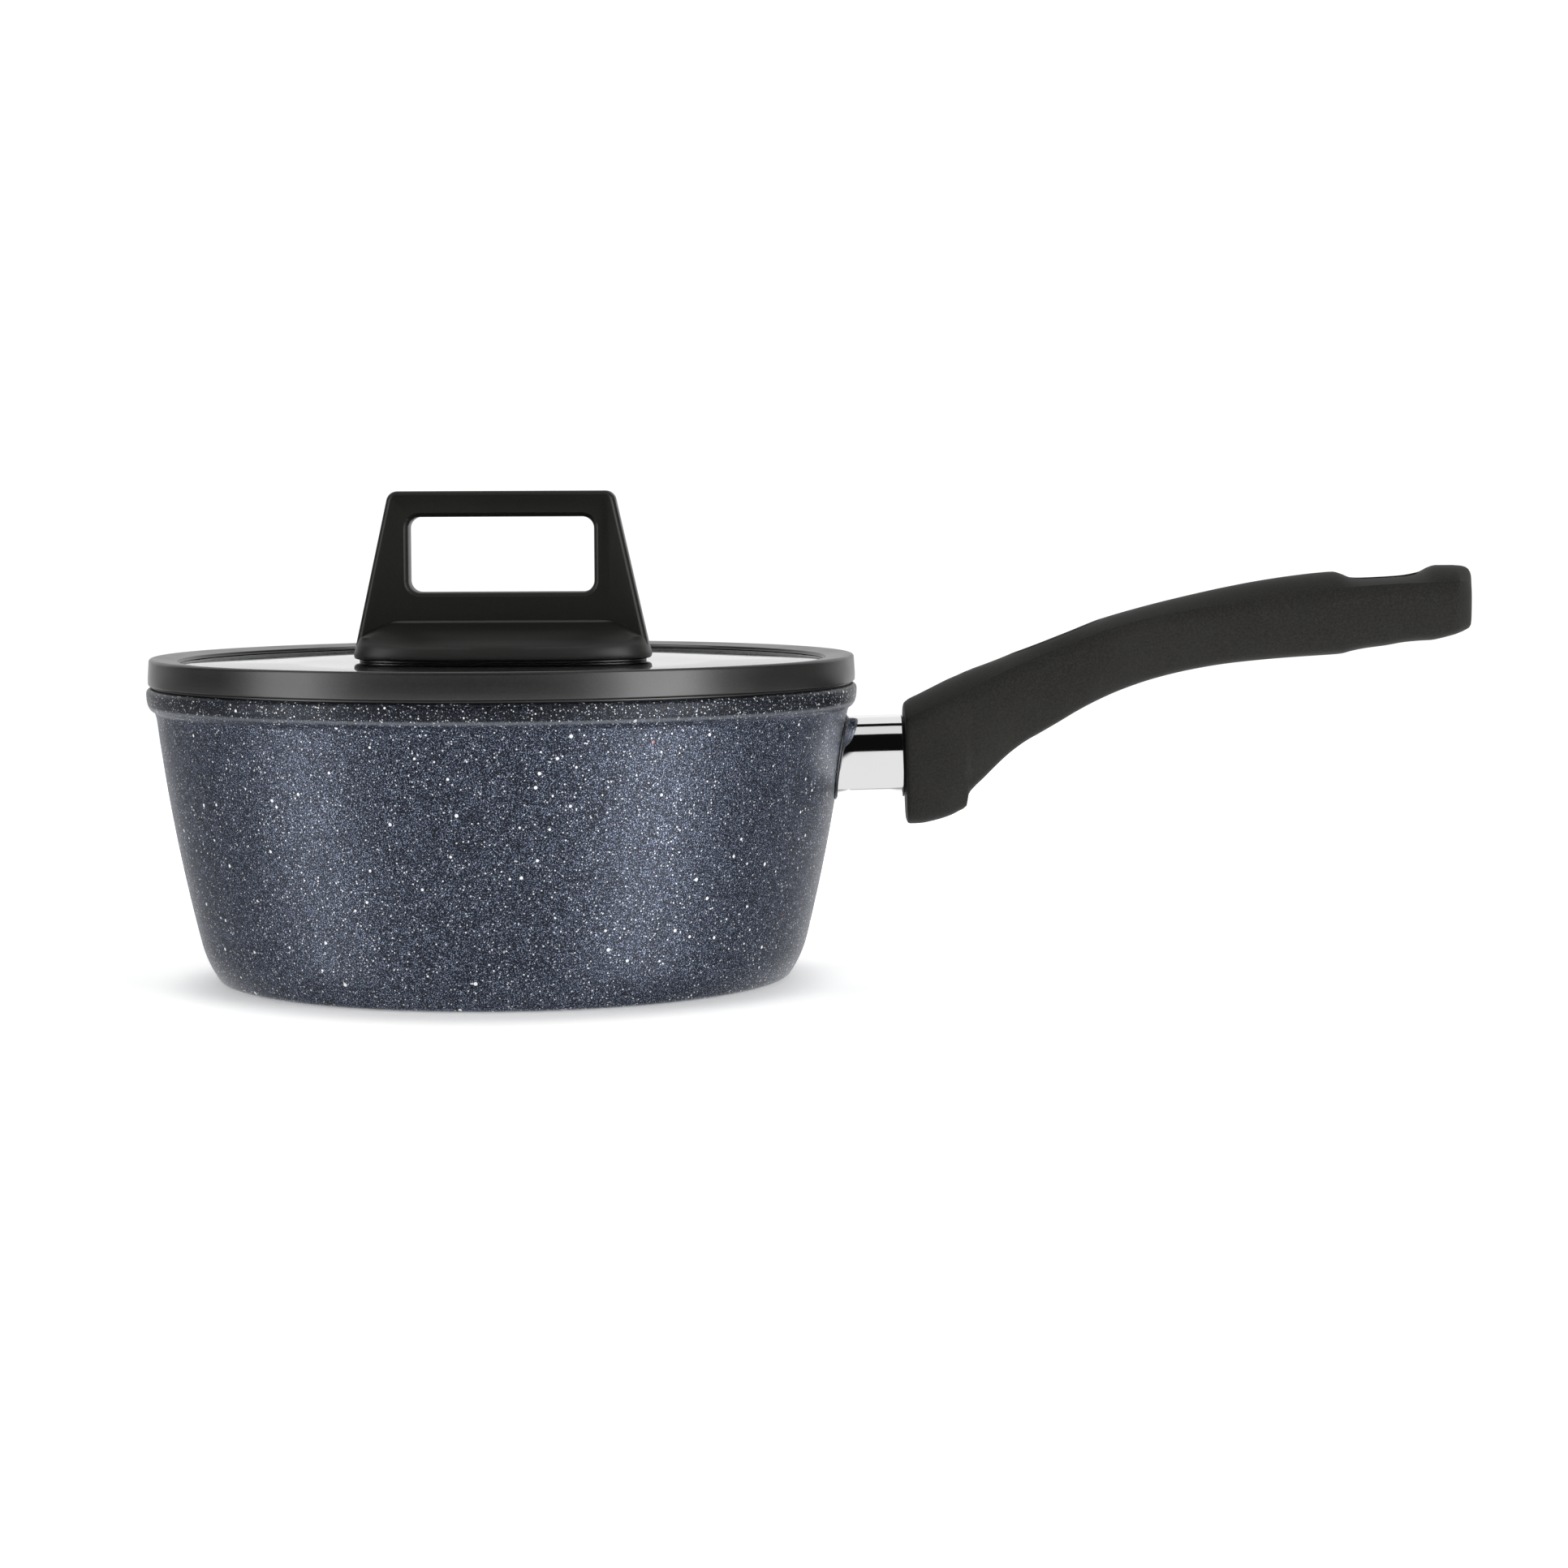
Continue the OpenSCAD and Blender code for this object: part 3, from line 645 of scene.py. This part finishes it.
xs = []
for a, b in zip(GRIP[:-1, 0], GRIP[1:, 0]):
    n = max(1, int(math.ceil((b - a) / 1.25)))
    xs += [a + (b - a) * i / n for i in range(n)]
xs.append(GRIP[-1, 0])
grip = loft("grip_moulded", [grip_ring(x) for x in xs], 28)
spigot = loft("spigot", [[ax(x, y, z) for y, z in round_rect(26.8 - 2 * i, 21.3 - 2 * i, 8.4 - i, 12)]
                         for x, i in ((4.05, 0.5), (4.3, 0.15), (4.8, 0.0), (13.0, 0.0))])
grip = boolean(grip, spigot, "UNION")
rod = loft("rod", [[ax(x, r * math.cos(a), r * math.sin(a)) for a in np.linspace(0, 2 * math.pi, 65)[:-1]]
                   for x, r in ((0, 2.8), (21.99, 2.8), (22.0, 5.6), (50, 5.6))])
grip = boolean(grip, rod)
ob_slot = []
for cx, a0 in ((262.0, -90), (250.5, 90)):
    ob_slot += [(cx + 5.5 * math.cos(math.radians(a0 + 180 * i / 24)), 5.5 * math.sin(math.radians(a0 + 180 * i / 24))) for i in range(25)]
grip = boolean(grip, prism("slot_cut", ob_slot, "Z", 80, 130))
# thumb scoop
sc, ss = math.cos(math.radians(21.6)), math.sin(math.radians(21.6))
rings = []
for i in range(1, 24):
    u = math.pi * i / 24
    px, pr = -15 * math.cos(u), math.sin(u)
    ring = []
    for k in range(72):
        a = 2 * math.pi * k / 72
        py, pz = 8.6 * pr * math.cos(a), 2.4 * pr * math.sin(a)
        ring.append((161.3 + px * sc - pz * ss, py, 99.1 + px * ss + pz * sc))
    rings.append(ring)
grip = boolean(grip, loft("scoop", rings))
tidy(grip, 28, 1e-7)
place(grip, "pan", "grip", "grip_bakelite", "handle_grip")

# ------------------------------------------------------------------ lid
seal = [(99.1, 85.4), (101.4, 85.4), (101.62, 85.5), (101.7, 85.75), (101.72, 86.0)]
seal += arc(102.1, 86.8, 0.7, -84, 0, 8)
seal += [(102.8, 88.4), (102.66, 90.6), (102.5, 92.9)]
seal += arc(101.6, 93.0, 0.9, 4, 80, 9)
seal += [(100.2, 93.82), (98.4, 93.6), (96.4, 93.38)]
seal += arc(94.6, 92.8, 0.4, 85, 180, 8)
seal += [(94.08, 92.55), (93.92, 92.33), (93.82, 92.26)]
seal += [(97.4, 92.25), (97.45, 92.2), (97.45, 88.2), (97.4, 88.15), (91.1, 88.15)]
seal += arc(90.95, 87.85, 0.3, 90, 225, 6)
seal += [(91.5, 87.1), (93.4, 86.7), (95.2, 86.4), (95.65, 86.15), (95.9, 85.6), (96.5, 83.7)]
seal += arc(97.05, 83.5, 0.5, 190, 355, 10)
seal += [(97.7, 84.4), (97.78, 85.0), (98.2, 85.36)]
place(revolve("rim_seal_ring", seal, 384, angle=40), "lid_rim", "silicone", "silicone", "rim_seal")

pane = [(0, 88.2), (60, 88.2), (96.4, 88.2), (96.75, 88.25), (97.1, 88.5), (97.35, 88.9), (97.4, 89.3),
        (97.4, 91.1), (97.35, 91.5), (97.1, 91.9), (96.75, 92.15), (96.4, 92.2), (60, 92.2), (0, 92.2)]
pane = revolve("lid_glass_pane", pane, 384, angle=60)
for cx, cy, r in ((0, 0, 5.0), (0, 50, 4.6)):
    hole = revolve("hole", [(0, 80), (r, 80), (r, 98), (0, 98)], 96, (cx, cy))
    pane = boolean(pane, hole)
tidy(pane, 40, 1e-7)
place(pane, "lid", "glass", "glass", "lid_glass")

# steam vent: pressed eyelet with a rolled edge
eyelet = [(2.6, 87.9), (2.8, 87.5), (3.1, 87.4), (5.3, 87.4), (5.65, 87.52), (5.8, 87.8), (5.65, 88.05), (5.3, 88.15), (3.75, 88.15), (3.6, 88.3),
          (3.6, 92.25), (6.1, 92.25), (6.42, 92.3), (6.6, 92.6), (6.5, 92.9), (6.2, 93.05), (5.2, 93.1), (4.2, 93.09), (3.5, 93.1), (2.95, 92.9), (2.65, 92.5), (2.6, 92.1)]
place(revolve("vent_eyelet_pressed", eyelet, 120, (0, 50), 40), "lid", "stainless", "stainless", "vent_eyelet")
place(revolve("vent_bush_sleeve", [(3.65, 88.2), (4.55, 88.2), (4.55, 92.2), (3.65, 92.2)], 96, (0, 50)), "lid", "silicone", "silicone", "vent_bush")

# ------------------------------------------------------------------ knob
def power(a, b, n, m=96):
    out = []
    for i in range(m):
        t = 2 * math.pi * i / m
        c, s = math.cos(t), math.sin(t)
        out.append((a * math.copysign(abs(c) ** (2 / n), c), b * math.copysign(abs(s) ** (2 / n), s)))
    return out


def half_w(z):
    return 43.2 - (z - 94.4) * (43.2 - 32.7) / (141.7 - 94.4)


def outline(inset, low=97.0):
    """Frame outline in the XZ plane, set in by inset, from the lower right corner round over the top."""
    k = inset / math.cos(math.atan2(10.5, 47.3))
    r, top = max(0.6, 3.2 - inset), 141.7 - inset
    pts = [(half_w(z) - k, z) for z in np.linspace(low, 137.6, 24)]
    # corner: between the leaning side and the top
    lean = math.atan2(10.5, 47.3)
    side_top = half_w(top) - k
    t = r * math.tan((math.pi / 2 - lean) / 2)
    cx, cz2 = side_top - t, top - r
    a0, a1 = math.degrees(lean), 90.0
    pts = [p for p in pts if p[1] < cz2 + r * math.sin(math.radians(a0)) - 0.1]
    pts += [(cx + r * math.cos(math.radians(a0 + (a1 - a0) * i / 10)), cz2 + r * math.sin(math.radians(a0 + (a1 - a0) * i / 10))) for i in range(11)]
    top_x = pts[-1][0]
    pts += [(top_x * (1 - 2 * i / 12), top) for i in range(1, 12)]
    return pts + [(-x, z) for x, z in reversed(pts[:-11])]


frame_rings = []
for y, inset in ((-6.0, 1.5), (-5.82, 1.05), (-5.45, 0.55), (-4.9, 0.15), (-4.3, 0.0), (4.3, 0.0), (4.9, 0.15), (5.45, 0.55), (5.82, 1.05), (6.0, 1.5)):
    o = outline(inset)
    frame_rings.append([(x, y, z) for x, z in o])
n0 = min(len(r) for r in frame_rings)
assert all(len(r) == n0 for r in frame_rings), [len(r) for r in frame_rings]
body = loft("knob_moulded", frame_rings, 24)

# window with a bevelled edge on both faces
win_rings = []
for y, grow in ((-7.0, 1.9), (-6.0, 1.25), (-5.6, 0.62), (-5.0, 0.2), (-4.2, 0.0), (4.2, 0.0), (5.0, 0.2), (5.6, 0.62), (6.0, 1.25), (7.0, 1.9)):
    win_rings.append([(x, y, 123.25 + z) for x, z in round_rect(54 + 2 * grow, 21.9 + 2 * grow, 3.4 + grow, 10)])
body = boolean(body, loft("window", win_rings, 24))

# foot: upright band, soft bend, then a straight slope up to the crease on the frame
foot = []
for z, a, b, n in ((92.95, 42.5, 20.0, 2.6), (93.03, 42.9, 20.4, 2.6), (93.25, 43.25, 20.75, 2.6), (93.7, 43.45, 20.95, 2.6), (94.3, 43.5, 21.0, 2.6),
                   (95.2, 43.3, 20.85, 2.6), (96.1, 43.05, 20.6, 2.6), (96.7, 42.9, 20.3, 2.6), (97.1, 42.75, 19.8, 2.65), (97.5, 42.6, 19.1, 2.7),
                   (98.1, 42.4, 17.9, 2.8), (98.8, 42.1, 16.5, 3.0), (99.4, 41.6, 15.35, 3.4), (100.4, 39.6, 13.4, 4.5), (101.6, 37.1, 11.1, 6.5),
                   (102.8, 34.7, 8.8, 9), (103.35, 33.6, 7.75, 10), (103.55, 33.2, 7.3, 10), (104.0, 32.5, 6.95, 10), (104.15, 32.1, 6.6, 10), (104.2, 31.6, 5.9, 10)):
    foot.append([(x, y, z) for x, y in power(a, b, n, 200)])
body = boolean(body, loft("foot", foot, 24), "UNION")
bore = revolve("knob_bore", [(0, 90), (4.05, 90), (4.05, 104.45), (0, 104.45)], 64)
body = boolean(body, bore)
for sx in (-24, 24):
    body = boolean(body, prism("hollow", [(sx + x, y) for x, y in round_rect(28, 15, 3, 6)], "Z", 90, 97.9))
tidy(body, 24, 1e-7)
place(body, "lid", "knob", "knob_bakelite", "knob_body")

pad = []
for z, i in ((92.25, 0.2), (92.32, 0.04), (92.45, 0.0), (92.65, 0.0), (92.78, 0.04), (92.85, 0.2)):
    pad.append([(x, y, z) for x, y in power(41.9 - i, 19.5 - i, 2.6, 144)])
pad = boolean(loft("knob_pad", pad, 40), revolve("pad_hole", [(0, 90), (2.6, 90), (2.6, 95), (0, 95)], 48))
tidy(pad, 40, 1e-7)
place(pad, "lid", "silicone", "silicone", "knob_gasket")

# ------------------------------------------------------------------ stage, light
floor_n = 96
fl = [(0.0, 0.0, -0.0002)]
radii = [0.15, 0.3, 0.6, 1.05]
for r in radii:
    fl += [(0.06 + r * math.cos(2 * math.pi * i / floor_n), r * math.sin(2 * math.pi * i / floor_n), -0.0002) for i in range(floor_n)]
ff = [[0, 1 + i, 1 + (i + 1) % floor_n] for i in range(floor_n)]
for k in range(len(radii) - 1):
    a = 1 + k * floor_n
    ff += [[a + i, a + floor_n + i, a + floor_n + (i + 1) % floor_n, a + (i + 1) % floor_n] for i in range(floor_n)]
floor = make("floor", fl, ff, scale=1.0)
if floor.data.polygons[0].normal.z < 0:
    floor.data.flip_normals()
fm = Nodes("floor_white")
fm.to("Base Color", fm.mix(fm.remap(fm.noise(40.0, 3.0, 0.5), 0.3, 0.7, 0.0, 1.0), (0.86, 0.86, 0.86), (0.88, 0.88, 0.88)))
fm.set("Roughness", 0.85)
fm.set("Specular IOR Level", 0.1)
fm.set("Emission Color", (1.0, 1.0, 1.0))
# painted contact shadow: the floor's glow is dimmed near the pan's foot, with the centre set off towards the camera
fs = fm.node("SeparateXYZ")
fm.link(fm.xyz, fs.inputs[0])
fr = fm.math("SQRT", fm.math("ADD", fm.math("POWER", fs.outputs[0], 2.0), fm.math("POWER", fm.math("ADD", fs.outputs[1], 0.011), 2.0)))
floor_painted_shadow = fm.node("MapRange", interpolation_type="SMOOTHERSTEP")
for sock, v in zip(floor_painted_shadow.inputs, (fr, 0.076, 0.105, 0.30, 0.62)):
    fm.plug(sock, v)
fm.to("Emission Strength", floor_painted_shadow.outputs[0])
# from below the floor is clear, so the underside can be looked at
clear = fm.node("MixShader")
fm.link(fm.node("NewGeometry").outputs["Backfacing"], clear.inputs[0])
fm.link(fm.b.outputs[0], clear.inputs[1])
fm.link(fm.node("BsdfTransparent").outputs[0], clear.inputs[2])
fm.link(clear.outputs[0], fm.t.nodes["Material Output"].inputs["Surface"])
floor.data.materials.append(fm.mat)

world = bpy.data.worlds.new("studio")
scene.world = world
world.use_nodes = True
wt = world.node_tree
wt.nodes.clear()


def wn(kind, **kw):
    n = wt.nodes.new("ShaderNode" + kind)
    for k, v in kw.items():
        setattr(n, k, v)
    return n


def wmath(op, a, b=0.0, c=0.0):
    n = wn("Math", operation=op)
    for s, v in zip(n.inputs, (a, b, c)):
        if hasattr(v, "is_output"):
            wt.links.new(v, s)
        else:
            s.default_value = v
    return n.outputs[0]


def wstep(v, a, b, lo=0.0, hi=1.0):
    n = wn("MapRange", interpolation_type="SMOOTHSTEP")
    for s, x in zip(n.inputs, (v, a, b, lo, hi)):
        if hasattr(x, "is_output"):
            wt.links.new(x, s)
        else:
            s.default_value = x
    return n.outputs[0]


TOP, CEIL, REAR, BELOW, LEFT, RIGHT, FILL = 0.75, 0.85, 0.95, 0.85, 4.0, 5.2, 0.004
wxyz = wn("SeparateXYZ")
wt.links.new(wn("TexCoord").outputs["Generated"], wxyz.inputs[0])
wx, wy, wz = wxyz.outputs
# angle above the horizon on the camera's side, in degrees: 0 in front, 90 overhead, 180 behind
angle = wmath("MULTIPLY", wmath("ARCTAN2", wz, wmath("MULTIPLY", wy, -1.0)), 180.0 / math.pi)
# angle round the object, in degrees: 0 on the camera's side, positive to the right
turn = wmath("MULTIPLY", wmath("ARCTAN2", wx, wmath("MULTIPLY", wy, -1.0)), 180.0 / math.pi)
side = wmath("ABSOLUTE", wx)


def wband(v, a, b, c, d):
    return wmath("MULTIPLY", wstep(v, a, b), wstep(v, d, c))


def wmax(*v):
    out = v[0]
    for x in v[1:]:
        out = wmath("MAXIMUM", out, x)
    return out


overhead = wmath("MULTIPLY", wmath("MULTIPLY", wband(angle, 58.0, 61.0, 91.0, 94.0), wstep(side, 0.86, 0.70)), TOP)
ceiling = wmath("MULTIPLY", wmath("MULTIPLY", wband(angle, 106.0, 109.0, 200.0, 220.0), wstep(side, 0.86, 0.70)), CEIL)
rear = wmath("MULTIPLY", wmath("MULTIPLY", wstep(wy, 0.86, 0.95), wstep(wz, -0.2, 0.0)), REAR)
away = wmath("ABSOLUTE", turn)
dim = wmath("SUBTRACT", 1.0, wmath("MULTIPLY", wband(away, 78.0, 92.0, 125.0, 139.0), 0.55))
low_side = wmath("SUBTRACT", 1.0, wmath("MULTIPLY", wmath("MULTIPLY", wband(away, 80.0, 94.0, 140.0, 151.0), wstep(wz, -0.40, -0.26)), 0.66))
lift = wmath("ADD", 1.0, wmath("MULTIPLY", wstep(away, 147.0, 160.0), 0.4))
below = wmath("MULTIPLY", wmath("MULTIPLY", wmath("MULTIPLY", wstep(wz, 0.0, -0.03), wmath("MINIMUM", dim, low_side)), lift), BELOW)
upto = wmath("MULTIPLY", wstep(wz, 0.70, 0.50), wstep(wz, -0.80, -0.45))
strip_l = wmath("MULTIPLY", wmath("MULTIPLY", wband(turn, -83.0, -75.0, -58.0, -50.0), upto), LEFT)
strip_r = wmath("MULTIPLY", wmath("MULTIPLY", wband(turn, 36.0, 45.0, 66.0, 75.0), upto), RIGHT)
level = wmath("ADD", wmax(overhead, ceiling, rear, below, strip_l, strip_r), FILL)
bg_env = wn("Background")
wt.links.new(level, bg_env.inputs["Strength"])
bg_env.inputs["Color"].default_value = (1, 1, 1, 1)
bg_cam = wn("Background")
bg_cam.inputs["Color"].default_value = (1, 1, 1, 1)
bg_cam.inputs["Strength"].default_value = 1.05
mixw = wn("MixShader")
wt.links.new(wn("LightPath").outputs["Is Camera Ray"], mixw.inputs[0])
wt.links.new(bg_env.outputs[0], mixw.inputs[1])
wt.links.new(bg_cam.outputs[0], mixw.inputs[2])
wt.links.new(mixw.outputs[0], wn("OutputWorld").inputs[0])
world.cycles.sampling_method = "AUTOMATIC"


# gloss doesn't see the floor: the sweep goes on below it, lit evenly
floor.visible_glossy = False

scene.view_settings.view_transform = "Standard"
scene.view_settings.look = "None"
scene.view_settings.exposure = 0.0
scene.view_settings.gamma = 1.0
